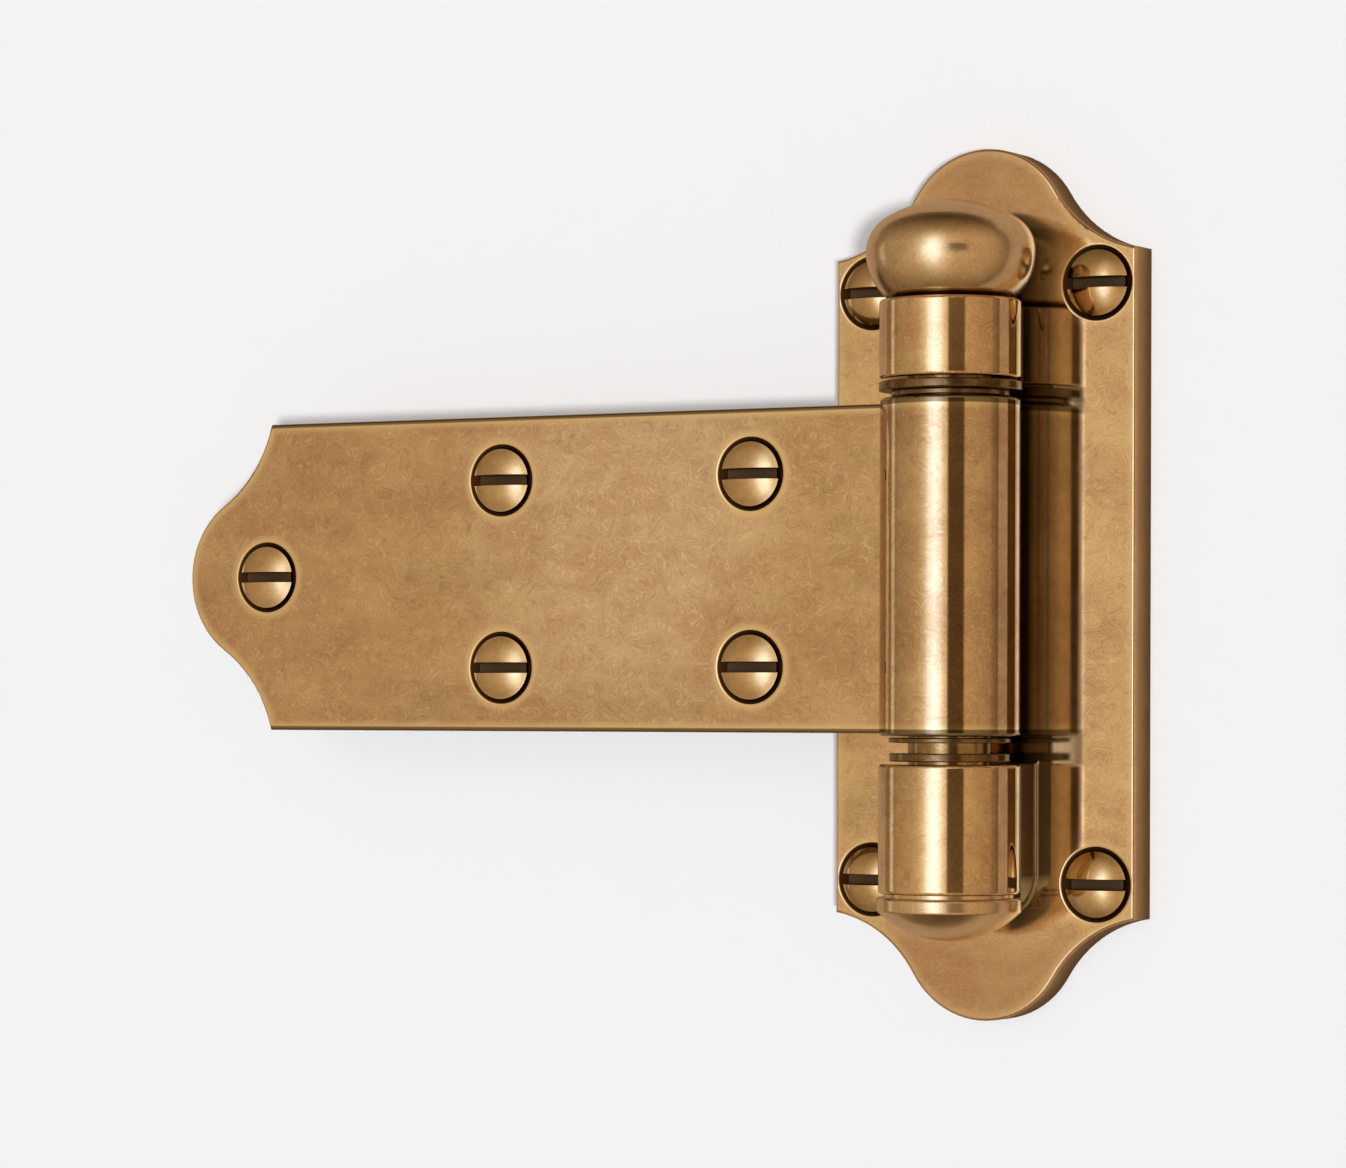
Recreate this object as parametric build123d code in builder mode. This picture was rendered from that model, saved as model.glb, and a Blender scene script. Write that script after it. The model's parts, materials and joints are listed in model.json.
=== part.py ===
from build123d import *
from math import acos, asin, atan2, cos, degrees, radians, sin, tan
import os

os.makedirs("parts", exist_ok=True)

# An offset surface hinge in cast brass, with two knuckles on an upright frame plate and one
# long barrel on a strap leaf. Millimetres. +Z runs up along the pin, -Y is the front and the
# strap points to -X. The origin is the middle of the frame plate's back face, on the cabinet.

# Frame plate
plate_width = 38.5
plate_height = 101.6
plate_thickness = 4.4
plate_end_rise = 12.2
plate_lobe_radius = 10.5
plate_hollow_radius = 14.4
plate_screw_from_side = 4.85
plate_screw_from_corner = 4.0

# Strap leaf, measured outwards from the pin line
strap_width = 38.1
strap_thickness = 4.4
strap_reach = 105.9
strap_end_rise = 12.1
strap_lobe_radius = 10.85
strap_hollow_radius = 17.0
strap_centre = 1.75
door_offset = 9.525
strap_screw_from_pin = 25.7
strap_screw_pitch = 34.3
strap_screw_from_edge = 7.7

# Pin line and what turns about it
pin_above_plate = 8.8
pin_radius = 4.8
knuckle_radius = 8.2
barrel_radius = 8.1
barrel_overhang_top = 0.35
barrel_overhang_bottom = 0.3
upper_knuckle_length = 9.1
lower_knuckle_length = 14.85
running_gap = 0.05
fixed_gap = 0.03
rim_round = 0.4

# Necks that carry the knuckles on the plate
upper_neck_half_width = 4.2
lower_neck_half_width = 6.8
lower_neck_drop = 2.7
lower_neck_corner = 4.6
neck_foot_round = 0.4

# Washers on the pin, and the end play left between them
upper_flange_radius = 8.25
upper_flange_thickness = 1.05
upper_thin_radius = 6.85
upper_thin_thickness = 0.7
lower_thin_radius = 7.0
lower_thin_thickness = 0.6
end_play = 1.2
lower_flange_radius = 6.95
lower_flange_thickness = 0.95
barrel_end_gap = 0.15
washer_seat_gap = 0.3
washer_round = 0.15

# Finial above the upper knuckle
finial_radius = 9.75
finial_waist_height = 5.55
finial_bulge_radius = 7.05
finial_upper_rise = 6.0
finial_shoulder_radius = 4.5
finial_clearance = 0.3
top_stud_radius = 3.0
top_stud_length = 6.8

# Cap below the lower knuckle
cap_radius = 8.35
cap_neck_radius = 7.5
cap_neck_height = 0.4
cap_rim_height = 1.6
cap_dome_height = 3.45
cap_clearance = 0.25
bottom_stud_radius = 3.0
bottom_stud_length = 3.0
stud_end_gap = 0.3

# Oval-headed slotted wood screws, all nine alike
head_radius = 3.8
head_crown = 1.3
head_angle = 82.0
shank_radius = 2.08
shank_length = 6.35
core_radius = 1.45
core_shoulder = 0.4
point_length = 3.6
screw_length = 19.05
slot_width = 1.27
slot_depth = 1.9
recess_radius = 4.4
recess_angle = 103.0
screw_hole_radius = 2.3
screw_seat_gap = 0.05

edge_round = 0.4

# Places worked out from the sizes above
plate_front = -plate_thickness
axis_y = plate_front - pin_above_plate
strap_front = -door_offset - strap_thickness
strap_top = strap_centre + strap_width / 2
strap_bottom = strap_centre - strap_width / 2
barrel_top = strap_top + barrel_overhang_top
barrel_bottom = strap_bottom - barrel_overhang_bottom
upper_thin_low = barrel_top + barrel_end_gap
upper_flange_low = upper_thin_low + upper_thin_thickness
upper_knuckle_low = upper_flange_low + upper_flange_thickness + washer_seat_gap
upper_knuckle_top = upper_knuckle_low + upper_knuckle_length
lower_thin_low = barrel_bottom - barrel_end_gap - lower_thin_thickness
lower_flange_low = lower_thin_low - end_play - lower_flange_thickness
lower_knuckle_top = lower_flange_low - washer_seat_gap
lower_knuckle_low = lower_knuckle_top - lower_knuckle_length
cap_top = lower_knuckle_low - cap_neck_height
cap_rim_low = cap_top - cap_rim_height
cap_low = cap_rim_low - cap_dome_height
finial_equator = upper_knuckle_top + finial_waist_height

pin_plane = Plane.XZ.offset(-axis_y)
pin_axis = Axis((0, axis_y, 0), (0, 0, 1))


def ogee(half_width, rise, lobe_radius, hollow_radius):
    """The joints of an end outline: on the lobe, where lobe and hollow meet, in the hollow.

    The crown stands rise above the corner at half_width. Each point is (across, above corner).
    """
    lobe = Vector(0, rise - lobe_radius)
    corner = Vector(half_width, 0)
    reach = corner - lobe
    between = lobe_radius + hollow_radius
    along = (between**2 + reach.length**2 - hollow_radius**2) / (2 * reach.length)
    angle = atan2(reach.Y, reach.X) + acos(along / between)
    hollow = lobe + Vector(cos(angle), sin(angle)) * between
    meeting = lobe + (hollow - lobe).normalized() * lobe_radius
    on_lobe = lobe + (meeting - lobe + Vector(0, lobe_radius)).normalized() * lobe_radius
    in_hollow = hollow + (meeting + corner - hollow * 2).normalized() * hollow_radius
    return on_lobe, meeting, in_hollow


def ring_section(outer, inner, low, high, rounding):
    """A ring's section beside the pin line, with both outer corners rounded."""
    with BuildSketch(pin_plane) as section:
        with Locations(((outer + inner) / 2, (high + low) / 2)):
            Rectangle(outer - inner, high - low)
        fillet(section.vertices().group_by(Axis.X)[-1], rounding)
    return section.sketch


def finial_section(clearance):
    """The finial's section beside the pin line, grown by a clearance.

    Three arcs follow one another from the foot: the bulge, the shoulder and the crown.
    """
    bulge = (finial_radius - finial_bulge_radius, finial_equator)
    shoulder = (finial_radius - finial_shoulder_radius, finial_equator)
    foot_angle = degrees(asin(finial_waist_height / finial_bulge_radius))
    over = finial_upper_rise - finial_shoulder_radius
    crown_radius = (shoulder[0] ** 2 + over**2) / (2 * over) + finial_shoulder_radius
    crown = finial_equator + finial_upper_rise - crown_radius
    crown_angle = degrees(atan2(finial_equator - crown, shoulder[0]))
    with BuildSketch(pin_plane) as section:
        with BuildLine():
            foot = CenterArc(bulge, finial_bulge_radius + clearance, -foot_angle, foot_angle) @ 0
            CenterArc(shoulder, finial_shoulder_radius + clearance, 0, crown_angle)
            top = CenterArc((0, crown), crown_radius + clearance, crown_angle, 90 - crown_angle) @ 1
            Polyline(top, (0, foot.Y), foot)
        make_face()
    return section.sketch


# Frame plate with both knuckles and their necks, one casting
plate_corner = plate_height / 2 - plate_end_rise
plate_side = plate_width / 2
plate_screw_x = plate_side - plate_screw_from_side
plate_screw_z = plate_corner - plate_screw_from_corner
to_corner = Vector(0, plate_corner)
on_lobe, meeting, in_hollow = ogee(
    plate_side, plate_end_rise, plate_lobe_radius, plate_hollow_radius
)

with BuildPart() as frame_plate:
    with BuildSketch(Plane.XZ):
        with BuildLine():
            ThreePointArc((0, plate_height / 2), to_corner + on_lobe, to_corner + meeting)
            ThreePointArc(to_corner + meeting, to_corner + in_hollow, (plate_side, plate_corner))
            Line((plate_side, plate_corner), (plate_side, 0))
            mirror(about=Plane.XZ)
            mirror(about=Plane.YZ)
        make_face()
    extrude(amount=plate_thickness)
    front_face = frame_plate.faces().sort_by(Axis.Y)[0]
    fillet(front_face.edges(), edge_round)
    revolve(finial_section(finial_clearance).faces(), axis=pin_axis, mode=Mode.SUBTRACT)
    with BuildSketch(Plane.XZ.offset(plate_thickness)):
        with Locations((0, (upper_knuckle_top + upper_knuckle_low) / 2)):
            Rectangle(2 * upper_neck_half_width, upper_knuckle_length)
    extrude(amount=pin_above_plate)
    neck_foot = frame_plate.edges(Select.LAST).filter_by_position(Axis.Y, plate_front, plate_front)
    fillet(neck_foot, neck_foot_round)
    with BuildSketch(Plane.XZ.offset(plate_thickness)) as lower_neck:
        with Locations((0, lower_knuckle_top)):
            Rectangle(
                2 * lower_neck_half_width,
                lower_knuckle_length + lower_neck_drop,
                align=(Align.CENTER, Align.MAX),
            )
        fillet(lower_neck.vertices().group_by(Axis.Y)[0], lower_neck_corner)
    extrude(amount=pin_above_plate)
    neck_foot = frame_plate.edges(Select.LAST).filter_by_position(Axis.Y, plate_front, plate_front)
    fillet(neck_foot, neck_foot_round)
    with BuildSketch(Plane.XY.offset(lower_knuckle_low)):
        with Locations((0, axis_y)):
            Circle(cap_radius + cap_clearance)
    extrude(amount=-2 * lower_neck_drop, mode=Mode.SUBTRACT)
    for low, high in (
        (upper_knuckle_low, upper_knuckle_top),
        (lower_knuckle_low, lower_knuckle_top),
    ):
        knuckle = ring_section(knuckle_radius, pin_radius, low, high, rim_round)
        revolve(knuckle.faces(), axis=pin_axis)
    with BuildSketch(Plane.XY.offset(lower_knuckle_low)):
        with Locations((0, axis_y)):
            Circle(pin_radius + fixed_gap)
    extrude(amount=upper_knuckle_top - lower_knuckle_low, mode=Mode.SUBTRACT)
    with Locations(Plane.XZ.offset(plate_thickness)):
        with GridLocations(2 * plate_screw_x, 2 * plate_screw_z, 2, 2):
            CounterSinkHole(screw_hole_radius, recess_radius, counter_sink_angle=recess_angle)
frame_plate.part.label = "frame_plate"
export_step(frame_plate.part, "parts/frame_plate.step")

# Strap leaf with its barrel, one casting
strap_corner = strap_reach - strap_end_rise
strap_side = strap_width / 2
to_corner = Vector(0, strap_corner)
on_lobe, meeting, in_hollow = ogee(
    strap_side, strap_end_rise, strap_lobe_radius, strap_hollow_radius
)
# Seen on this plane, the strap runs up the page away from the pin line
strap_plane = Plane((0, -door_offset, strap_centre), x_dir=(0, 0, 1), z_dir=(0, -1, 0))
strap_screw_rise = strap_side - strap_screw_from_edge
strap_screw_spots = [
    (strap_screw_rise, strap_screw_from_pin),
    (-strap_screw_rise, strap_screw_from_pin),
    (strap_screw_rise, strap_screw_from_pin + strap_screw_pitch),
    (-strap_screw_rise, strap_screw_from_pin + strap_screw_pitch),
    (0, strap_screw_from_pin + 2 * strap_screw_pitch),
]

with BuildPart() as strap_leaf:
    with BuildSketch(strap_plane):
        with BuildLine():
            ThreePointArc((0, strap_reach), to_corner + on_lobe, to_corner + meeting)
            ThreePointArc(to_corner + meeting, to_corner + in_hollow, (strap_side, strap_corner))
            Polyline((strap_side, strap_corner), (strap_side, 0), (0, 0))
            mirror(about=Plane.YZ)
        make_face()
    extrude(amount=strap_thickness)
    front_face = strap_leaf.faces().sort_by(Axis.Y)[0]
    fillet(front_face.edges().sort_by(Axis.X)[:-1], edge_round)
    barrel = ring_section(barrel_radius, pin_radius, barrel_bottom, barrel_top, rim_round)
    revolve(barrel.faces(), axis=pin_axis)
    with BuildSketch(Plane.XY.offset(barrel_bottom)):
        with Locations((0, axis_y)):
            Circle(pin_radius + running_gap)
    extrude(amount=barrel_top - barrel_bottom, mode=Mode.SUBTRACT)
    with Locations(strap_plane.offset(strap_thickness)):
        with Locations(*strap_screw_spots):
            CounterSinkHole(screw_hole_radius, recess_radius, counter_sink_angle=recess_angle)
strap_leaf.part.label = "strap_leaf"
export_step(strap_leaf.part, "parts/strap_leaf.step")

# Pin, with a turned stud at each end for the finial and the cap
with BuildPart() as hinge_pin:
    with BuildSketch(pin_plane):
        with BuildLine():
            Polyline(
                (0, lower_knuckle_low - bottom_stud_length),
                (bottom_stud_radius, lower_knuckle_low - bottom_stud_length),
                (bottom_stud_radius, lower_knuckle_low),
                (pin_radius, lower_knuckle_low),
                (pin_radius, upper_knuckle_top),
                (top_stud_radius, upper_knuckle_top),
                (top_stud_radius, upper_knuckle_top + top_stud_length),
                (0, upper_knuckle_top + top_stud_length),
                close=True,
            )
        make_face()
    revolve(axis=pin_axis)
hinge_pin.part.label = "hinge_pin"
export_step(hinge_pin.part, "parts/hinge_pin.step")

# Ball finial, flattened like a bun and screwed down on the pin's upper stud
with BuildPart() as ball_finial:
    revolve(finial_section(0).faces(), axis=pin_axis)
    with BuildSketch(Plane.XY.offset(upper_knuckle_top)):
        with Locations((0, axis_y)):
            Circle(top_stud_radius + fixed_gap)
    extrude(amount=top_stud_length + stud_end_gap, mode=Mode.SUBTRACT)
ball_finial.part.label = "ball_finial"
export_step(ball_finial.part, "parts/ball_finial.step")

# Domed cap under the lower knuckle, seated on a short neck
with BuildPart() as bottom_cap:
    with BuildSketch(pin_plane) as cap_section:
        with BuildLine():
            TangentArc((0, cap_low), (cap_radius, cap_rim_low), tangent=(1, 0))
            Polyline(
                (cap_radius, cap_rim_low),
                (cap_radius, cap_top),
                (cap_neck_radius, cap_top),
                (cap_neck_radius, lower_knuckle_low),
                (0, lower_knuckle_low),
                (0, cap_low),
            )
        make_face()
        fillet(cap_section.vertices().group_by(Axis.X)[-1], rim_round)
    revolve(axis=pin_axis)
    with BuildSketch(Plane.XY.offset(lower_knuckle_low)):
        with Locations((0, axis_y)):
            Circle(bottom_stud_radius + fixed_gap)
    extrude(amount=-bottom_stud_length - stud_end_gap, mode=Mode.SUBTRACT)
bottom_cap.part.label = "bottom_cap"
export_step(bottom_cap.part, "parts/bottom_cap.step")

# Washers on the pin, between the knuckles and the barrel
washers = {
    "upper_flange_washer": (upper_flange_radius, upper_flange_low, upper_flange_thickness),
    "upper_thin_washer": (upper_thin_radius, upper_thin_low, upper_thin_thickness),
    "lower_thin_washer": (lower_thin_radius, lower_thin_low, lower_thin_thickness),
    "lower_flange_washer": (lower_flange_radius, lower_flange_low, lower_flange_thickness),
}
for name, (radius, low, thickness) in washers.items():
    with BuildPart() as washer:
        ring = ring_section(radius, pin_radius + running_gap, low, low + thickness, washer_round)
        revolve(ring.faces(), axis=pin_axis)
    washer.part.label = name
    export_step(washer.part, f"parts/{name}.step")

# Screws through the plate and the strap. Each head's cone seats on the edge of its hole, at the
# bottom of a wider recess, so a ring of gap is left around the head's rim.
recess_depth = (recess_radius - screw_hole_radius) / tan(radians(recess_angle / 2))
head_slope = tan(radians(head_angle / 2))
head_gap = screw_seat_gap / cos(radians(head_angle / 2))
rim_depth = recess_depth - (head_radius + head_gap - screw_hole_radius) / head_slope
cone_depth = rim_depth + (head_radius - shank_radius) / head_slope
shank_depth = rim_depth + shank_length
tip_depth = rim_depth + screw_length

screws = {
    "plate_screw_upper_left": (-plate_screw_x, plate_front, plate_screw_z),
    "plate_screw_upper_right": (plate_screw_x, plate_front, plate_screw_z),
    "plate_screw_lower_left": (-plate_screw_x, plate_front, -plate_screw_z),
    "plate_screw_lower_right": (plate_screw_x, plate_front, -plate_screw_z),
}
for number, (rise, outwards) in enumerate(strap_screw_spots, 1):
    screws[f"strap_screw_{number}"] = (-outwards, strap_front, strap_centre + rise)

for name, (x, face_y, z) in screws.items():
    with BuildPart() as screw:
        with BuildSketch(Plane((x, face_y, z))):
            with BuildLine():
                crown = TangentArc(
                    (0, rim_depth - head_crown), (head_radius, rim_depth), tangent=(1, 0)
                )
                Polyline(
                    crown @ 1,
                    (shank_radius, cone_depth),
                    (shank_radius, shank_depth),
                    (core_radius, shank_depth + core_shoulder),
                    (core_radius, tip_depth - point_length),
                    (0, tip_depth),
                    crown @ 0,
                )
            make_face()
        revolve(axis=Axis((x, face_y, z), (0, 1, 0)))
        with BuildSketch(Plane.XZ.offset(head_crown - rim_depth - face_y)):
            with Locations((x, z)):
                Rectangle(3 * head_radius, slot_width)
        extrude(amount=-slot_depth, mode=Mode.SUBTRACT)
    screw.part.label = name
    export_step(screw.part, f"parts/{name}.step")
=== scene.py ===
import json
import math

import bmesh
import bpy
from mathutils import Euler, Matrix, Vector


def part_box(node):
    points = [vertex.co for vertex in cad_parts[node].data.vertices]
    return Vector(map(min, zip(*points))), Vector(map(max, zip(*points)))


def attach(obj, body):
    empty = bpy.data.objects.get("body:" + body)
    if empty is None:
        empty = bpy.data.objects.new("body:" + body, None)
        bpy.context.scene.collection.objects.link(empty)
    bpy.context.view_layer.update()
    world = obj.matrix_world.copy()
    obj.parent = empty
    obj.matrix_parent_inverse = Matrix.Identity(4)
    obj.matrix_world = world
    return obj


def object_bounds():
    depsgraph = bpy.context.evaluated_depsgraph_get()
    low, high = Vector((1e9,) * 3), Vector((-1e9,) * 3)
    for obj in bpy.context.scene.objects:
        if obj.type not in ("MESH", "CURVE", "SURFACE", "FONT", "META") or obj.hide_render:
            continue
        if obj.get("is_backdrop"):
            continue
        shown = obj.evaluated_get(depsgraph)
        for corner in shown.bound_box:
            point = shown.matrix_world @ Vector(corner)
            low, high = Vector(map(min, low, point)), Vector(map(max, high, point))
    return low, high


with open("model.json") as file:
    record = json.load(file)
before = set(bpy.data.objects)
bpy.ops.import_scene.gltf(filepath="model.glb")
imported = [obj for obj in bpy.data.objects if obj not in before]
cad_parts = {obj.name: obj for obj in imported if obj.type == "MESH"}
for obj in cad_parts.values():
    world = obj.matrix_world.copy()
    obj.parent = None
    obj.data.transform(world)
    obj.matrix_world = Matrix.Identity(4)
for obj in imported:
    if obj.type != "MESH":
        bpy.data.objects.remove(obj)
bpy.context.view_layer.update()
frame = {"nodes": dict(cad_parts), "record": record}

scene = bpy.context.scene
nodes = frame["nodes"]
MM = 0.001

# Faces, screw places and outlines in millimetres, as in the part. An outline is the leaf's half
# width, the rise of its rounded end, the lobe and hollow radii, and how far the end reaches.
plate_face = -4.4
strap_face = -13.925
strap_back = -9.525
plate_spread = (14.4, 34.6)
strap_middle = (-42.85, 1.75)
strap_spread = (17.15, 11.35)
strap_end_screw = (-94.3, 1.75)
plate_outline = (19.25, 12.2, 10.5, 14.4, 50.8)
strap_outline = (19.05, 12.1, 10.85, 17.0, 105.9)
# The brass up to end_screw_reach to the right of the end screw counts as near that screw. The
# recess is the countersink's mouth, and the slot is the one across a screw's head.
end_screw_reach = 17.0
recess_radius = 4.4
half_slot = 0.65


def linear(code):
    """An sRGB hex colour as linear RGBA."""
    parts = [int(code[i : i + 2], 16) / 255 for i in (0, 2, 4)]
    return [p / 12.92 if p <= 0.04045 else ((p + 0.055) / 1.055) ** 2.4 for p in parts] + [1.0]


def add(tree, kind, inputs=None, output=0, **settings):
    """Adds a node and returns one of its outputs. An input is a value, or the output it takes.

    A Mix node of colours has its factor at input 0, its two colours at 6 and 7, and the mixed
    colour at output 2.
    """
    node = tree.nodes.new(kind)
    for name, value in settings.items():
        setattr(node, name, value)
    for name, value in (inputs or {}).items():
        if isinstance(value, bpy.types.NodeSocket):
            tree.links.new(value, node.inputs[name])
        else:
            node.inputs[name].default_value = value
    return node.outputs[output] if len(node.outputs) else None


def set_ramp(colour, low, high, *stops):
    """Sets the ramp that gives this colour: stops of (place from low to high, red, green, blue)."""
    ramp = colour.node.color_ramp
    for place, *_ in stops[2:]:
        ramp.elements.new((place - low) / (high - low))
    for element, (place, *shade) in zip(ramp.elements, stops):
        element.position = (place - low) / (high - low)
        element.color = (*shade[:3], 1.0)


def where(tree, *limits):
    """A mask. It's 0 where a value is before its start and 1 where all are past their ends."""
    mask = 1.0
    for value, start, end in limits:
        step = add(
            tree,
            "ShaderNodeMapRange",
            {0: value, 1: start, 2: end},
            interpolation_type="SMOOTHSTEP",
        )
        mask = add(tree, "ShaderNodeMath", {0: step, 1: mask}, operation="MULTIPLY")
    return mask


# Camera, a long lens held level, a little to the right of the hinge and below its middle. Its
# place is in metres.
photo_width, photo_height = 1346, 1168
focal_length_px = 4513.0
horizon_row = 708.6
camera_place = (0.22668, -0.48006, -0.0145)
camera_turn = math.radians(29.407)
camera_roll = math.radians(0.159)
lens = bpy.data.cameras.new("camera")
lens.sensor_width = 36.0
lens.lens = focal_length_px / photo_width * lens.sensor_width
lens.shift_y = (horizon_row - photo_height / 2) / photo_width
camera = bpy.data.objects.new("camera", lens)
scene.collection.objects.link(camera)
aim = Euler((math.pi / 2, 0, camera_turn)).to_matrix() @ Matrix.Rotation(camera_roll, 3, "Z")
camera.matrix_world = Matrix.Translation(camera_place) @ aim.to_4x4()
scene.camera = camera

# Studio: a warm room with one tall cool window in front. Azimuth is 0 at the front, + to the right.
world = bpy.data.worlds.new("studio")
scene.world = world
world.use_nodes = True
tree = world.node_tree
tree.nodes.clear()
ray = add(tree, "ShaderNodeTexCoord", output="Generated")
ray_x = add(tree, "ShaderNodeSeparateXYZ", {0: ray}, "X")
ray_front = add(
    tree, "ShaderNodeVectorMath", {0: ray, 1: (0, -1, 0)}, "Value", operation="DOT_PRODUCT"
)
ray_z = add(tree, "ShaderNodeSeparateXYZ", {0: ray}, "Z")
azimuth = add(tree, "ShaderNodeMath", {0: ray_x, 1: ray_front}, operation="ARCTAN2")
azimuth = add(tree, "ShaderNodeMath", {0: azimuth}, operation="DEGREES")
elevation = add(tree, "ShaderNodeMath", {0: ray_z}, operation="ARCSINE")
elevation = add(tree, "ShaderNodeMath", {0: elevation}, operation="DEGREES")
angles = add(tree, "ShaderNodeCombineXYZ", {"X": azimuth, "Y": elevation})

# The window, seen as rings of angle round its middle, taller than wide
window_tall = 2.1
window_far = 60.0
from_window = add(
    tree,
    "ShaderNodeMapping",
    {
        "Vector": angles,
        "Location": (0.0, 1.0 / window_tall, 0.0),
        "Scale": (1.0, 1.0 / window_tall, 0.0),
    },
)
window_ring = add(tree, "ShaderNodeVectorMath", {0: from_window}, "Value", operation="LENGTH")
window_turn = add(tree, "ShaderNodeMath", {0: window_ring, 1: window_far}, operation="DIVIDE")
window = add(tree, "ShaderNodeValToRGB", {"Fac": window_turn})
set_ramp(
    window,
    0.0,
    window_far,
    (0.0, 2.28, 2.12, 2.28),
    (5.0, 1.78, 1.76, 1.96),
    (10.0, 1.45, 1.50, 1.50),
    (14.0, 1.16, 1.04, 0.91),
    (18.5, 0.92, 0.76, 0.52),
    (27.0, 0.70, 0.52, 0.31),
    (38.0, 0.60, 0.42, 0.24),
    (57.0, 0.57, 0.39, 0.21),
)

# Sides of the room: dim on the left, paler on the right, with a dark corner past it
sides_turn = add(tree, "ShaderNodeMapRange", {0: azimuth, 1: -180.0, 2: 180.0})
sides = add(tree, "ShaderNodeValToRGB", {"Fac": sides_turn})
set_ramp(
    sides,
    -180,
    180,
    (-150, 0.60, 0.60, 0.64),
    (-112, 0.50, 0.50, 0.52),
    (-86, 0.50, 0.50, 0.52),
    (-66, 0.78, 0.80, 0.84),
    (-42, 0.92, 0.92, 0.94),
    (50, 1.08, 1.06, 1.02),
    (64, 1.02, 1.00, 0.98),
    (94, 0.80, 0.76, 0.74),
    (101, 0.52, 0.48, 0.45),
    (108, 0.52, 0.48, 0.45),
    (114, 0.60, 0.60, 0.64),
)
heights_turn = add(tree, "ShaderNodeMapRange", {0: elevation, 1: -90.0, 2: 90.0})
heights = add(tree, "ShaderNodeValToRGB", {"Fac": heights_turn})
set_ramp(
    heights,
    -90,
    90,
    (-90, 0.24, 0.22, 0.20),
    (-62, 0.58, 0.55, 0.52),
    (-45, 0.82, 0.80, 0.79),
    (-22, 0.98, 0.98, 0.98),
    (14, 0.98, 0.98, 0.98),
    (32, 0.82, 0.80, 0.78),
    (46, 0.62, 0.58, 0.54),
    (62, 0.42, 0.38, 0.34),
    (76, 0.28, 0.25, 0.21),
    (90, 0.20, 0.17, 0.14),
)
studio = add(
    tree,
    "ShaderNodeMix",
    {0: 1.0, 6: sides, 7: heights},
    2,
    data_type="RGBA",
    blend_type="MULTIPLY",
)
studio = add(
    tree,
    "ShaderNodeMix",
    {0: 1.0, 6: window, 7: studio},
    2,
    data_type="RGBA",
    blend_type="MULTIPLY",
)

# A dark post to the right of the window gives the dark band down every turned piece
from_post = add(
    tree,
    "ShaderNodeMapping",
    {"Vector": angles, "Location": (-35.2, -1.2, 0.0), "Scale": (1.0, 1.0, 0.0)},
)
from_post = add(tree, "ShaderNodeVectorMath", {0: from_post}, operation="ABSOLUTE")
post_across = add(tree, "ShaderNodeSeparateXYZ", {0: from_post}, "X")
post_up = add(tree, "ShaderNodeSeparateXYZ", {0: from_post}, "Y")
post = where(tree, (post_across, 15.5, 11.5), (post_up, 20.0, 1.0), (post_up, 20.0, 1.0))
studio = add(
    tree, "ShaderNodeMix", {0: post, 6: studio, 7: linear("5E482A")}, 2, data_type="RGBA"
)

# A narrow bright strip low on the left, as of a door ajar
from_door = add(
    tree,
    "ShaderNodeMapping",
    {
        "Vector": angles,
        "Location": (81.5 / 4.5, 1.0 / 14.0, 0.0),
        "Scale": (1 / 4.5, 1 / 14.0, 0.0),
    },
)
door_ring = add(tree, "ShaderNodeVectorMath", {0: from_door}, "Value", operation="LENGTH")
door = where(tree, (door_ring, 1.25, 0.75))
studio = add(
    tree, "ShaderNodeMix", {0: door, 6: studio, 7: linear("E2CAAF")}, 2, data_type="RGBA"
)
to_camera = add(tree, "ShaderNodeLightPath", output="Is Camera Ray")
studio = add(
    tree, "ShaderNodeMix", {0: to_camera, 6: studio, 7: linear("F4F4F4")}, 2, data_type="RGBA"
)
glow = add(tree, "ShaderNodeBackground", {"Color": studio})
add(tree, "ShaderNodeOutputWorld", {"Surface": glow})

# A low sun from the camera's side, for the soft shadow above each edge on the paper
sun_data = bpy.data.lights.new("low_sun", "SUN")
sun_data.energy = 3.6
sun_data.color = (1.0, 0.87, 0.74)
sun_data.angle = math.radians(5)
sun = bpy.data.objects.new("low_sun", sun_data)
scene.collection.objects.link(sun)
sun_below_level = math.radians(6.8)
sun_to_the_right = math.radians(31)
sun.rotation_euler = (math.pi / 2 + sun_below_level, 0, sun_to_the_right)
sun.visible_glossy = False


def inside_outline(tree, across, along, half_width, rise, lobe, hollow):
    """How far inside the leaf's ogee outline a point is, in metres. along is 0 at the corner."""
    point = add(tree, "ShaderNodeCombineXYZ", {"X": across, "Y": along})
    reach = Vector((half_width, lobe - rise))
    between = lobe + hollow
    leg = (between**2 + reach.length**2 - hollow**2) / (2 * reach.length)
    angle = math.atan2(reach.y, reach.x) + math.acos(leg / between)
    lobe_middle = Vector((0.0, rise - lobe))
    hollow_middle = lobe_middle + Vector((math.cos(angle), math.sin(angle))) * between
    meeting = lobe_middle + Vector((math.cos(angle), math.sin(angle))) * lobe
    from_lobe = add(
        tree,
        "ShaderNodeVectorMath",
        {0: point, 1: (*lobe_middle * MM, 0.0)},
        "Value",
        operation="DISTANCE",
    )
    in_lobe = add(tree, "ShaderNodeMath", {0: lobe * MM, 1: from_lobe}, operation="SUBTRACT")
    from_hollow = add(
        tree,
        "ShaderNodeVectorMath",
        {0: point, 1: (*hollow_middle * MM, 0.0)},
        "Value",
        operation="DISTANCE",
    )
    off_hollow = add(tree, "ShaderNodeMath", {0: from_hollow, 1: hollow * MM}, operation="SUBTRACT")
    in_side = add(tree, "ShaderNodeMath", {0: half_width * MM, 1: across}, operation="SUBTRACT")
    under = add(tree, "ShaderNodeMath", {0: meeting.y * MM, 1: along}, operation="SUBTRACT")
    inside = add(tree, "ShaderNodeMath", {0: off_hollow, 1: in_side}, operation="MINIMUM")
    inside = add(tree, "ShaderNodeMath", {0: inside, 1: under}, operation="MINIMUM")
    return add(tree, "ShaderNodeMath", {0: inside, 1: in_lobe}, operation="MAXIMUM")


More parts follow.
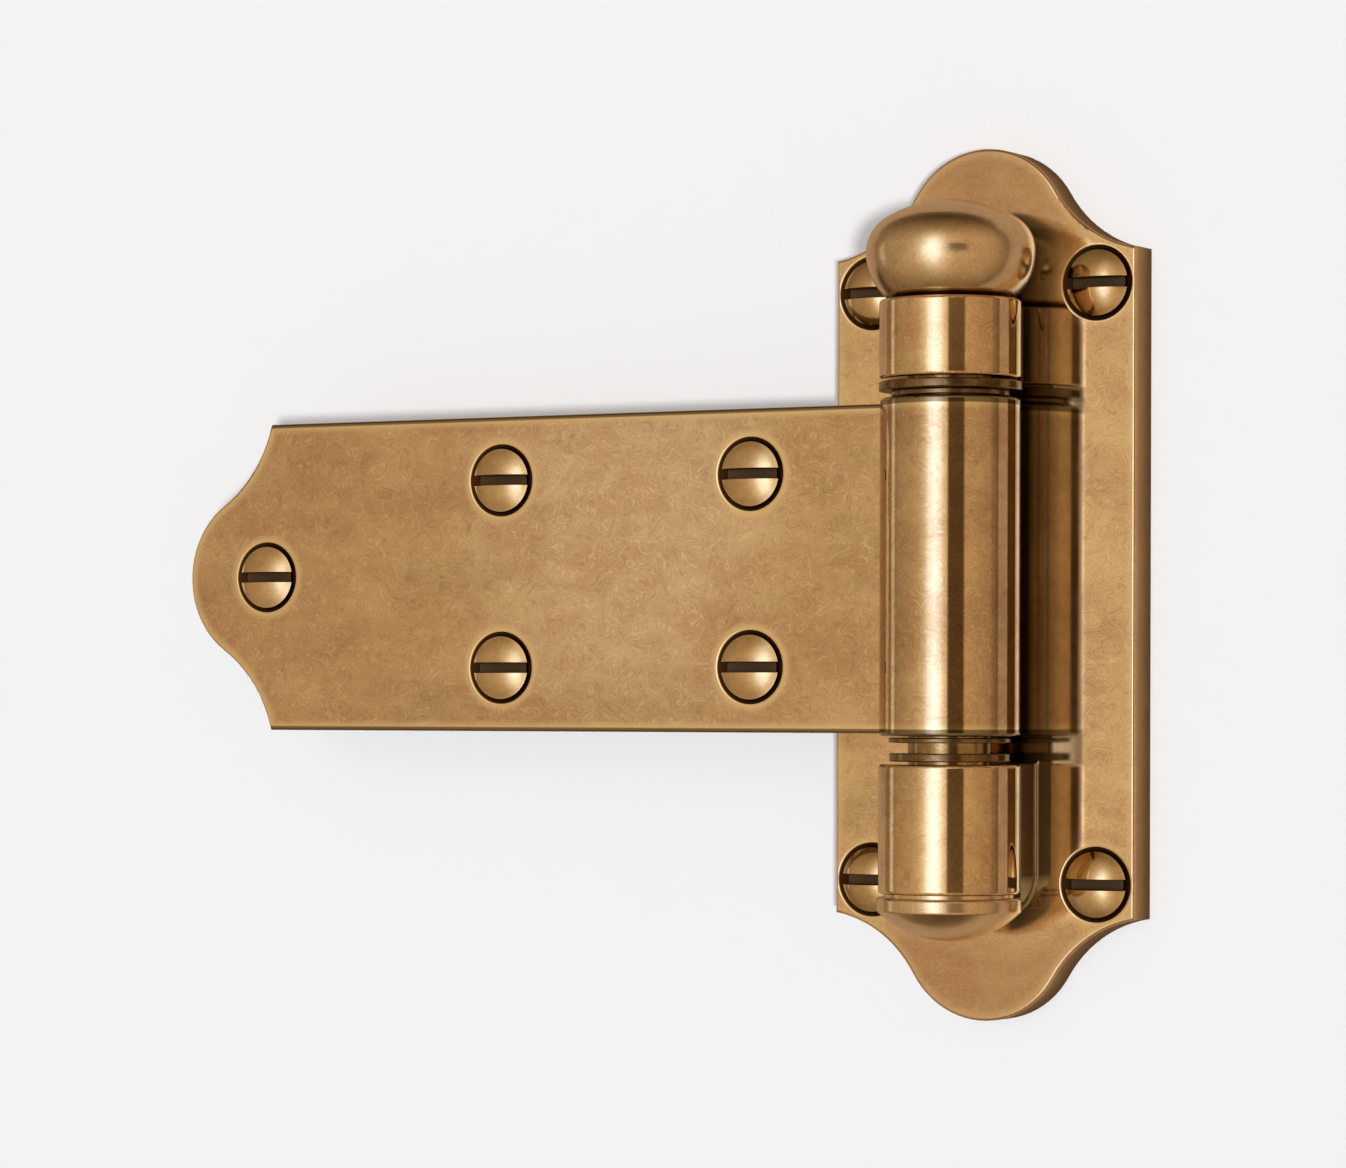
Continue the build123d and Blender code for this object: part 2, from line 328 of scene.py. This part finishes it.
def plate_inside(tree, place):
    """The plate's outline: how far inside it, how far across, and how far past its corners."""
    across = add(tree, "ShaderNodeSeparateXYZ", {0: place}, "X")
    across = add(tree, "ShaderNodeMath", {0: across}, operation="ABSOLUTE")
    along = add(tree, "ShaderNodeSeparateXYZ", {0: place}, "Z")
    along = add(tree, "ShaderNodeMath", {0: along}, operation="ABSOLUTE")
    corner = (plate_outline[4] - plate_outline[1]) * MM
    along = add(tree, "ShaderNodeMath", {0: along, 1: corner}, operation="SUBTRACT")
    return inside_outline(tree, across, along, *plate_outline[:4]), across, along


def strap_inside(tree, place):
    """The strap's outline, given in the same way."""
    across = add(tree, "ShaderNodeSeparateXYZ", {0: place}, "Z")
    across = add(tree, "ShaderNodeMath", {0: across, 1: strap_middle[1] * MM}, operation="SUBTRACT")
    across = add(tree, "ShaderNodeMath", {0: across}, operation="ABSOLUTE")
    along = add(tree, "ShaderNodeSeparateXYZ", {0: place}, "X")
    corner = (strap_outline[4] - strap_outline[1]) * MM
    along = add(tree, "ShaderNodeMath", {0: -corner, 1: along}, operation="SUBTRACT")
    return inside_outline(tree, across, along, *strap_outline[:4]), across, along


# Matt paper: even and shineless, part of its white its own. The brass mirrors it as a beige card
# with a dark rim.
def paper_finish(name, card_middle, card_half):
    material = bpy.data.materials.new(name)
    material.use_nodes = True
    tree = material.node_tree
    tree.nodes.clear()
    place = add(tree, "ShaderNodeTexCoord", output="Object")
    on_card = add(
        tree,
        "ShaderNodeMapping",
        {
            "Vector": place,
            "Location": (-card_middle[0] / card_half[0], 0.0, -card_middle[1] / card_half[1]),
            "Scale": (1 / (card_half[0] * MM), 0.0, 1 / (card_half[1] * MM)),
        },
    )
    on_card = add(tree, "ShaderNodeVectorMath", {0: on_card}, operation="ABSOLUTE")
    card_x = add(tree, "ShaderNodeSeparateXYZ", {0: on_card}, "X")
    card_z = add(tree, "ShaderNodeSeparateXYZ", {0: on_card}, "Z")
    card_edge = add(tree, "ShaderNodeMath", {0: card_x, 1: card_z}, operation="MAXIMUM")
    off_card = add(tree, "ShaderNodeMath", {0: card_edge, 1: 1.0}, operation="GREATER_THAN")
    card_rim = add(tree, "ShaderNodeMath", {0: card_edge, 1: 0.84}, operation="GREATER_THAN")
    inside, _, _ = plate_inside(tree, place)
    # The plate's back mirrors the room without it. Beside the plate's edge the card is painted with
    # a contact shadow, so that the plate's edge mirrors it dark.
    under_plate = add(tree, "ShaderNodeMath", {0: inside, 1: 0.0}, operation="GREATER_THAN")
    off_card = add(tree, "ShaderNodeMath", {0: off_card, 1: under_plate}, operation="MAXIMUM")
    # Painted contact shadow on the card within 3 mm of the plate's outline
    clear_of_painted_contact_shadow = where(tree, (inside, 0.0, -3.0 * MM))
    card = add(
        tree,
        "ShaderNodeMix",
        {0: clear_of_painted_contact_shadow, 6: linear("524638"), 7: linear("988876")},
        2,
        data_type="RGBA",
    )
    card = add(
        tree, "ShaderNodeMix", {0: card_rim, 6: card, 7: linear("695B47")}, 2, data_type="RGBA"
    )
    to_camera = add(tree, "ShaderNodeLightPath", output="Is Camera Ray")
    to_metal = add(tree, "ShaderNodeLightPath", output="Is Glossy Ray")
    colour = add(
        tree, "ShaderNodeMix", {0: to_metal, 6: linear("CEDAEA"), 7: card}, 2, data_type="RGBA"
    )
    paper = add(tree, "ShaderNodeBsdfDiffuse", {"Color": colour})
    white = add(tree, "ShaderNodeEmission", {"Color": linear("F4F4F4")})
    own_white = add(tree, "ShaderNodeMath", {0: to_camera, 1: 0.3}, operation="MULTIPLY")
    sheet = add(tree, "ShaderNodeMixShader", {0: own_white, 1: paper, 2: white})
    # Mirrored rays pass it beyond the card, and everything passes it from behind
    unseen = add(tree, "ShaderNodeMath", {0: to_metal, 1: off_card}, operation="MULTIPLY")
    behind = add(tree, "ShaderNodeNewGeometry", output="Backfacing")
    unseen = add(tree, "ShaderNodeMath", {0: unseen, 1: behind}, operation="MAXIMUM")
    clear = add(tree, "ShaderNodeBsdfTransparent")
    sheet = add(tree, "ShaderNodeMixShader", {0: unseen, 1: sheet, 2: clear})
    add(tree, "ShaderNodeOutputMaterial", {"Surface": sheet})
    return material


def paper_sheet(name, size, turn, place, finish):
    bm = bmesh.new()
    bmesh.ops.create_grid(bm, x_segments=1, y_segments=1, size=size)
    bmesh.ops.rotate(bm, verts=bm.verts, matrix=Matrix.Rotation(turn, 3, "X"))
    bmesh.ops.translate(bm, verts=bm.verts, vec=Vector(place))
    mesh = bpy.data.meshes.new(name)
    bm.to_mesh(mesh)
    bm.free()
    sheet = bpy.data.objects.new(name, mesh)
    scene.collection.objects.link(sheet)
    mesh.materials.append(finish)
    # Paper lets the lamps' light through, so that the low sun reaches the wall from under the floor
    sheet.visible_shadow = False
    sheet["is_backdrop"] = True
    return sheet


wall_finish = paper_finish("matt_paper_wall", (-36.0, 0.0), (102.0, 98.0))
paper_sheet("wall", 2.0, math.pi / 2, (0, 0.2 * MM, 0), wall_finish)
# The floor has no card: the brass doesn't mirror it at all
floor_finish = paper_finish("matt_paper_floor", (0.0, 0.0), (1.0, 1.0))
floor = paper_sheet("floor", 2.0, 0.0, (0, 0, -0.12), floor_finish)
floor.visible_glossy = False


def near_screw(tree, place, middle, spread, face, end_screw=None):
    """A point from its nearest screw: distance from the axis, depth behind the face, and up."""
    from_middle = add(
        tree,
        "ShaderNodeVectorMath",
        {0: place, 1: (middle[0] * MM, face * MM, middle[1] * MM)},
        operation="SUBTRACT",
    )
    folded = add(tree, "ShaderNodeVectorMath", {0: from_middle}, operation="ABSOLUTE")
    folded = add(
        tree,
        "ShaderNodeVectorMath",
        {0: folded, 1: (spread[0] * MM, 0.0, spread[1] * MM)},
        operation="SUBTRACT",
    )
    if end_screw:
        from_end = add(
            tree,
            "ShaderNodeVectorMath",
            {0: place, 1: (end_screw[0] * MM, face * MM, end_screw[1] * MM)},
            operation="SUBTRACT",
        )
        halfway = (end_screw[0] + end_screw_reach - middle[0]) * MM
        middle_x = add(tree, "ShaderNodeSeparateXYZ", {0: from_middle}, "X")
        at_end = add(tree, "ShaderNodeMath", {0: middle_x, 1: halfway}, operation="LESS_THAN")
        folded = add(
            tree, "ShaderNodeMix", {0: at_end, 4: folded, 5: from_end}, 1, data_type="VECTOR"
        )
    flat = add(
        tree, "ShaderNodeVectorMath", {0: folded, 1: (1.0, 0.0, 1.0)}, operation="MULTIPLY"
    )
    radius = add(tree, "ShaderNodeVectorMath", {0: flat}, "Value", operation="LENGTH")
    depth = add(tree, "ShaderNodeSeparateXYZ", {0: from_middle}, "Y")
    up = add(tree, "ShaderNodeSeparateXYZ", {0: folded}, "Z")
    return radius, depth, up


def aged_surface(tree, place, dull, rubbed, cloud_size, lines=1.0):
    """Colour of old hand-polished brass: drawn-out clouds of patina under curled hairlines.

    cloud_size is the clouds' width in millimetres, and lines is how strong the hairlines are.
    """
    drawn_out = add(
        tree,
        "ShaderNodeMapping",
        {"Vector": place, "Scale": [scale / (cloud_size * MM) for scale in (0.6, 1.0, 1.3)]},
    )
    cloud = add(
        tree,
        "ShaderNodeTexNoise",
        {"Vector": drawn_out, "Scale": 1.0, "Detail": 5.0, "Roughness": 0.68},
    )
    clouds = where(tree, (cloud, 0.30, 0.70))
    colour = add(
        tree, "ShaderNodeMix", {0: clouds, 6: linear(dull), 7: linear(rubbed)}, 2, data_type="RGBA"
    )
    # Greyer patches, where lacquer and grease have gone unevenly
    patch = add(tree, "ShaderNodeSeparateColor", {0: cloud.node.outputs["Color"]}, "Green")
    greyer = add(
        tree, "ShaderNodeMath", {0: where(tree, (patch, 0.52, 0.70)), 1: 0.4}, operation="MULTIPLY"
    )
    colour = add(
        tree, "ShaderNodeMix", {0: greyer, 6: colour, 7: linear("B7A888")}, 2, data_type="RGBA"
    )
    # Hairlines, curled because the polishing cloth went in circles. Real ones are a few hundredths
    # of a millimetre wide, too fine to show, so they're drawn coarser: 0.1 mm wide, 0.7 mm apart.
    curl = add(
        tree,
        "ShaderNodeTexNoise",
        {
            "Vector": place,
            "Scale": 1 / (2.4 * MM),
            "Detail": 1.5,
            "Roughness": 0.55,
            "Distortion": 1.1,
        },
    )
    line_density = 62.0
    wave = add(tree, "ShaderNodeMath", {0: curl, 1: line_density}, operation="MULTIPLY")
    wave = add(tree, "ShaderNodeMath", {0: wave}, operation="SINE")
    thinner = add(tree, "ShaderNodeSeparateColor", {0: curl.node.outputs["Color"]}, "Blue")
    bright = where(tree, (wave, 0.45, 1.0), (thinner, 0.36, 0.60))
    bright = add(tree, "ShaderNodeMath", {0: bright, 1: 0.42 * lines}, operation="MULTIPLY")
    colour = add(
        tree, "ShaderNodeMix", {0: bright, 6: colour, 7: linear("FCEECC")}, 2, data_type="RGBA"
    )
    dark = where(tree, (wave, -0.5, -1.0), (thinner, 0.60, 0.40))
    dark = add(tree, "ShaderNodeMath", {0: dark, 1: 0.24 * lines}, operation="MULTIPLY")
    colour = add(
        tree, "ShaderNodeMix", {0: dark, 6: colour, 7: linear("7D5E3D")}, 2, data_type="RGBA"
    )
    return colour, clouds


def finish_material(name, tree_of):
    """A material whose nodes are built by tree_of, which gives colour, roughness and height."""
    material = bpy.data.materials.new(name)
    material.use_nodes = True
    tree = material.node_tree
    tree.nodes.clear()
    place = add(tree, "ShaderNodeTexCoord", output="Object")
    colour, roughness, height = tree_of(tree, place)
    inputs = {"Base Color": colour, "Metallic": 1.0, "Roughness": roughness}
    if height is not None:
        inputs["Normal"] = add(
            tree, "ShaderNodeBump", {"Height": height, "Strength": 1.0, "Distance": 1.0}
        )
    shader = add(tree, "ShaderNodeBsdfPrincipled", inputs)
    add(tree, "ShaderNodeOutputMaterial", {"Surface": shader})
    return material


def leaf_edges(tree, colour, clouds, inside, radius, depth, back_depth, rub_and_highlight):
    """Rubs the outline and the holes' lips bright, partly wear and partly a painted highlight,
    and stains the holes.

    Returns the colour, the roughness and the height.
    """
    # Bright edges and hole mouths: part wear, part painted highlight
    rubbed_and_lit_mouth = where(tree, (radius, 5.6 * MM, 4.5 * MM), (depth, 0.5 * MM, 0.1 * MM))
    rubbed = add(
        tree,
        "ShaderNodeMath",
        {0: where(tree, (inside, 1.5 * MM, 0.3 * MM)), 1: rubbed_and_lit_mouth},
        operation="MAXIMUM",
    )
    rubbed = add(tree, "ShaderNodeMath", {0: rubbed, 1: rub_and_highlight}, operation="MULTIPLY")
    colour = add(
        tree, "ShaderNodeMix", {0: rubbed, 6: colour, 7: linear("FFECC4")}, 2, data_type="RGBA"
    )
    darkened = where(
        tree,
        (radius, recess_radius * MM, (recess_radius - 0.04) * MM),
        (depth, 0.01 * MM, 0.04 * MM),
        (depth, (back_depth - 0.05) * MM, (back_depth - 0.1) * MM),
    )
    colour = add(
        tree, "ShaderNodeMix", {0: darkened, 6: colour, 7: linear("5E442C")}, 2, data_type="RGBA"
    )
    # The lip rises by a hair over a fifth of a millimetre, so that it catches the light
    lip = where(tree, (radius, recess_radius * MM, (recess_radius + 0.22) * MM))
    lip = add(tree, "ShaderNodeMath", {0: lip, 1: 0.024 * MM}, operation="MULTIPLY")
    smooth = add(tree, "ShaderNodeMapRange", {0: clouds, 3: 0.10, 4: 0.06})
    roughness = add(tree, "ShaderNodeMapRange", {0: darkened, 3: smooth, 4: 0.6})
    return colour, roughness, lip


# Sand-cast yellow brass, filed and polished by hand, then aged: a brown-gold mirror under clouds
# of patina, bright along its edges and round each hole, partly rubbed and partly a painted
# highlight. It's browner at the plate's ends.
def plate_nodes(tree, place):
    radius, depth, _ = near_screw(tree, place, (0, 0), plate_spread, plate_face)
    inside, _, along = plate_inside(tree, place)
    colour, clouds = aged_surface(tree, place, "D7B593", "EDD5AE", 10.0)
    ends = add(
        tree,
        "ShaderNodeMath",
        {0: where(tree, (along, -1.0 * MM, 5.0 * MM)), 1: 0.47},
        operation="MULTIPLY",
    )
    colour = add(
        tree, "ShaderNodeMix", {0: ends, 6: colour, 7: linear("B1866C")}, 2, data_type="RGBA"
    )
    # Behind the barrel, the ball and the cap the brass is grey-brown, partly tarnish where the
    # cloth never reached and partly a painted shade and painted reflection of them: darkest beside
    # the barrel, palest a little further right.
    right = add(tree, "ShaderNodeSeparateXYZ", {0: place}, "X")
    tarnish_shade_and_reflection = where(tree, (right, 12.9 * MM, 12.4 * MM), (along, -3.0 * MM, -5.0 * MM))
    for centre, reach in ((33.0, 10.6), (-32.3, 8.3)):
        off_end = add(
            tree,
            "ShaderNodeVectorMath",
            {0: place, 1: (2.5 * MM, plate_face * MM, centre * MM)},
            "Value",
            operation="DISTANCE",
        )
        behind_end = where(tree, (off_end, reach * MM, (reach - 0.7) * MM))
        tarnish_shade_and_reflection = add(tree, "ShaderNodeMath", {0: tarnish_shade_and_reflection, 1: behind_end}, operation="MAXIMUM")
    on_face = where(tree, (right, 2.5 * MM, 4.0 * MM), (depth, -0.2 * MM, -0.1 * MM))
    tarnish_shade_and_reflection = add(tree, "ShaderNodeMath", {0: tarnish_shade_and_reflection, 1: on_face}, operation="MULTIPLY")
    # Painted shade and reflection across the strip behind the barrel: dark by it, pale further out
    shade = add(tree, "ShaderNodeMapRange", {0: right, 1: 4.6 * MM, 2: 12.0 * MM})
    tarnish_shade_and_reflection_ramp = add(tree, "ShaderNodeValToRGB", {"Fac": shade})
    set_ramp(
        tarnish_shade_and_reflection_ramp,
        0.0,
        1.0,
        (0.0, *linear("736C5D")),
        (0.45, *linear("999384")),
        (0.72, *linear("D4C8B1")),
        (0.86, *linear("CBBDA4")),
        (1.0, *linear("9E8E76")),
    )
    colour = add(tree, "ShaderNodeMix", {0: tarnish_shade_and_reflection, 6: colour, 7: tarnish_shade_and_reflection_ramp}, 2, data_type="RGBA")
    return leaf_edges(tree, colour, clouds, inside, radius, depth, -plate_face, 0.4)


# The same brass on the strap: palest in the middle, where hands push the door, partly wear and
# partly a painted sheen; dark lines of painted shade run along the top and bottom corners and in
# the crease beside the barrel.
def strap_nodes(tree, place):
    radius, depth, _ = near_screw(
        tree, place, strap_middle, strap_spread, strap_face, strap_end_screw
    )
    inside, across, _ = strap_inside(tree, place)
    colour, clouds = aged_surface(tree, place, "CEAF8E", "E5CCAB", 10.0)
    from_middle = add(
        tree,
        "ShaderNodeMapping",
        {
            "Vector": place,
            "Location": (43.0 / 28.0, 0.0, -7.0 / 32.0),
            "Scale": (1 / (28.0 * MM), 0.0, 1 / (32.0 * MM)),
        },
    )
    handled_and_sheen = add(tree, "ShaderNodeVectorMath", {0: from_middle}, "Value", operation="LENGTH")
    handled_and_sheen = where(tree, (handled_and_sheen, 1.0, 0.25))
    # Handling wear and a painted sheen make it paler and less yellow: these are gains on red,
    # green and blue
    colour = add(
        tree,
        "ShaderNodeMix",
        {0: handled_and_sheen, 6: colour, 7: (1.23, 1.34, 1.56, 1.0)},
        2,
        data_type="RGBA",
        blend_type="MULTIPLY",
    )
    colour, roughness, lip = leaf_edges(
        tree, colour, clouds, inside, radius, depth, strap_back - strap_face, 0.9
    )
    # Painted shade: dark brown lines along the top and bottom corners and in the crease beside the
    # barrel
    half_width = strap_outline[0]
    painted_corner_shade = where(tree, (across, (half_width - 0.60) * MM, (half_width - 0.42) * MM))
    right = add(tree, "ShaderNodeSeparateXYZ", {0: place}, "X")
    crease = where(tree, (right, -8.8 * MM, -8.3 * MM), (right, -7.0 * MM, -7.6 * MM))
    painted_corner_shade = add(tree, "ShaderNodeMath", {0: painted_corner_shade, 1: crease}, operation="MAXIMUM")
    painted_corner_shade = add(tree, "ShaderNodeMath", {0: painted_corner_shade, 1: 0.8}, operation="MULTIPLY")
    colour = add(
        tree, "ShaderNodeMix", {0: painted_corner_shade, 6: colour, 7: linear("65553F")}, 2, data_type="RGBA"
    )
    return colour, roughness, lip


# The same brass turned on a lathe: a cleaner, brighter gold mirror, darker in a band round the
# ball's foot.
def finial_nodes(tree, place):
    colour, _ = aged_surface(tree, place, "DCC4A2", "EED8B8", 8.0, 0.7)
    up = add(tree, "ShaderNodeSeparateXYZ", {0: place}, "Z")
    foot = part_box("ball_finial")[0].z
    darkened = where(
        tree, (up, foot + 0.9 * MM, foot + 0.3 * MM), (up, foot - 1.0 * MM, foot - 0.5 * MM)
    )
    colour = add(
        tree, "ShaderNodeMix", {0: darkened, 6: colour, 7: linear("5C452E")}, 2, data_type="RGBA"
    )
    return colour, 0.20, None


# The pin, turned brass that nobody polishes: a darker brown mirror, with the clouds of tarnish
def pin_nodes(tree, place):
    colour, _ = aged_surface(tree, place, "8E7454", "B0966E", 4.0, 0.5)
    return colour, 0.16, None


# Washers, turned and never polished again: dark brown with old grease
def washer_nodes(tree, place):
    colour, _ = aged_surface(tree, place, "604B36", "91785A", 5.0, 0.2)
    return colour, 0.20, None


# Turned brass screws: domes dulled by handling, dirt under the rim, and darker walls and floor in
# the slot. Where the dome is worn flatter, the shading takes part of its roundness away.
def screw_nodes(tree, place, middle, spread, face, worn_flat, end_screw=None):
    radius, depth, up = near_screw(tree, place, middle, spread, face, end_screw)
    colour, _ = aged_surface(tree, place, "CEB187", "E5CCA5", 5.0, 0.5)
    under_rim = where(tree, (depth, -0.12 * MM, -0.08 * MM), (depth, 2.6 * MM, 2.4 * MM))
    colour = add(
        tree, "ShaderNodeMix", {0: under_rim, 6: colour, 7: linear("5E442C")}, 2, data_type="RGBA"
    )
    roughness = add(tree, "ShaderNodeMapRange", {0: under_rim, 3: 0.11, 4: 0.6})
    off_slot = add(tree, "ShaderNodeMath", {0: up}, operation="ABSOLUTE")
    slot_wall = where(
        tree,
        (off_slot, (half_slot + 0.01) * MM, (half_slot - 0.01) * MM),
        (depth, 0.8 * MM, 0.7 * MM),
    )
    colour = add(
        tree, "ShaderNodeMix", {0: slot_wall, 6: colour, 7: linear("4C3A29")}, 2, data_type="RGBA"
    )
    slot_floor = where(
        tree,
        (off_slot, (half_slot - 0.07) * MM, (half_slot - 0.15) * MM),
        (depth, 0.40 * MM, 0.45 * MM),
        (depth, 0.55 * MM, 0.50 * MM),
    )
    colour = add(
        tree, "ShaderNodeMix", {0: slot_floor, 6: colour, 7: linear("695744")}, 2, data_type="RGBA"
    )
    on_head = where(tree, (depth, 0.0, -0.1 * MM))
    rim_wear = where(tree, (radius, 3.3 * MM, 3.75 * MM))
    rim_wear = add(tree, "ShaderNodeMath", {0: rim_wear, 1: on_head}, operation="MULTIPLY")
    rim_wear = add(tree, "ShaderNodeMath", {0: rim_wear, 1: 0.35}, operation="MULTIPLY")
    colour = add(
        tree, "ShaderNodeMix", {0: rim_wear, 6: colour, 7: linear("F8DFB2")}, 2, data_type="RGBA"
    )
    if not worn_flat:
        return colour, roughness, None
    squared = add(tree, "ShaderNodeMath", {0: radius, 1: radius}, operation="MULTIPLY")
    squared = add(tree, "ShaderNodeMath", {0: squared, 1: on_head}, operation="MULTIPLY")
    height = add(tree, "ShaderNodeMath", {0: squared, 1: worn_flat / MM}, operation="MULTIPLY")
    return colour, roughness, height


def plate_screw_nodes(tree, place):
    return screw_nodes(tree, place, (0, 0), plate_spread, plate_face, 0.0)


def strap_screw_nodes(tree, place):
    return screw_nodes(
        tree, place, strap_middle, strap_spread, strap_face, 0.033, strap_end_screw
    )


plate_brass = finish_material("aged_cast_brass_plate", plate_nodes)
strap_brass = finish_material("aged_cast_brass_strap", strap_nodes)
finial_brass = finish_material("aged_turned_brass", finial_nodes)
pin_brass = finish_material("tarnished_turned_brass", pin_nodes)
washer_brass = finish_material("greased_turned_brass", washer_nodes)
plate_screw_brass = finish_material("aged_screw_brass_plate", plate_screw_nodes)
strap_screw_brass = finish_material("aged_screw_brass_strap", strap_screw_nodes)


def finish_of(node):
    if node == "frame_plate":
        return plate_brass
    if node == "strap_leaf":
        return strap_brass
    if node == "hinge_pin":
        return pin_brass
    if node.endswith("washer"):
        return washer_brass
    if node.startswith("plate_screw"):
        return plate_screw_brass
    if node.startswith("strap_screw"):
        return strap_screw_brass
    return finial_brass


for subpart in frame["record"]["subparts"]:
    slots = nodes[subpart["node"]].data.materials
    slots.clear()
    slots.append(finish_of(subpart["node"]))


# Wood-screw threads: a V ridge of a No. 8 screw, 15 turns to the inch, round each plain core
thread_pitch = 25.4 / 15
thread_radius = 2.05
thread_root = 1.40
thread_half = 0.42
thread_start = 6.4
thread_end = 18.0
taper_start = 14.6
steps_in_turn = 20


def screw_thread(name, centre, face, body, finish):
    turns = (thread_end - thread_start) / thread_pitch
    steps = int(turns * steps_in_turn)
    bm = bmesh.new()
    profile = [
        bm.verts.new(Vector((thread_root, 0, -thread_half)) * MM),
        bm.verts.new(Vector((thread_radius, 0, 0)) * MM),
        bm.verts.new(Vector((thread_root, 0, thread_half)) * MM),
    ]
    end_face = bm.faces.new(profile)
    bmesh.ops.spin(
        bm,
        geom=[end_face, *end_face.edges, *end_face.verts],
        cent=(0, 0, 0),
        axis=(0, 0, 1),
        dvec=(0, 0, thread_pitch / steps_in_turn * MM),
        angle=math.tau * steps / steps_in_turn,
        steps=steps,
        use_merge=False,
        use_duplicate=False,
    )
    # The ridge runs out of the shank, and follows the point in at the far end
    point_length = thread_end - taper_start
    for vert in bm.verts:
        along = vert.co.z / MM + thread_start
        grow = min(1.0, max(0.0, (along - thread_start) / 1.2))
        shrink = 1.0 - 0.86 * min(1.0, max(0.0, (along - taper_start) / point_length))
        radius = vert.co.xy.length / MM
        ridge = thread_root * 0.9 + (radius - thread_root * 0.9) * grow
        vert.co.xy *= ridge * shrink / radius
    bmesh.ops.rotate(bm, verts=bm.verts, matrix=Matrix.Rotation(-math.pi / 2, 3, "X"))
    place = Vector((centre[0], face + thread_start, centre[1])) * MM
    bmesh.ops.translate(bm, verts=bm.verts, vec=place)
    bmesh.ops.recalc_face_normals(bm, faces=bm.faces)
    mesh = bpy.data.meshes.new(name)
    bm.to_mesh(mesh)
    bm.free()
    thread = bpy.data.objects.new(name, mesh)
    scene.collection.objects.link(thread)
    mesh.materials.append(finish)
    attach(thread, body)


for node in [s["node"] for s in frame["record"]["subparts"] if "_screw_" in s["node"]]:
    low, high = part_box(node)
    centre = ((low.x + high.x) / 2 / MM, (low.z + high.z) / 2 / MM)
    on_plate = node.startswith("plate")
    screw_thread(
        node + "_thread",
        centre,
        plate_face if on_plate else strap_face,
        "frame" if on_plate else "strap",
        plate_screw_brass if on_plate else strap_screw_brass,
    )

scene.view_settings.view_transform = "Standard"

low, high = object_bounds()
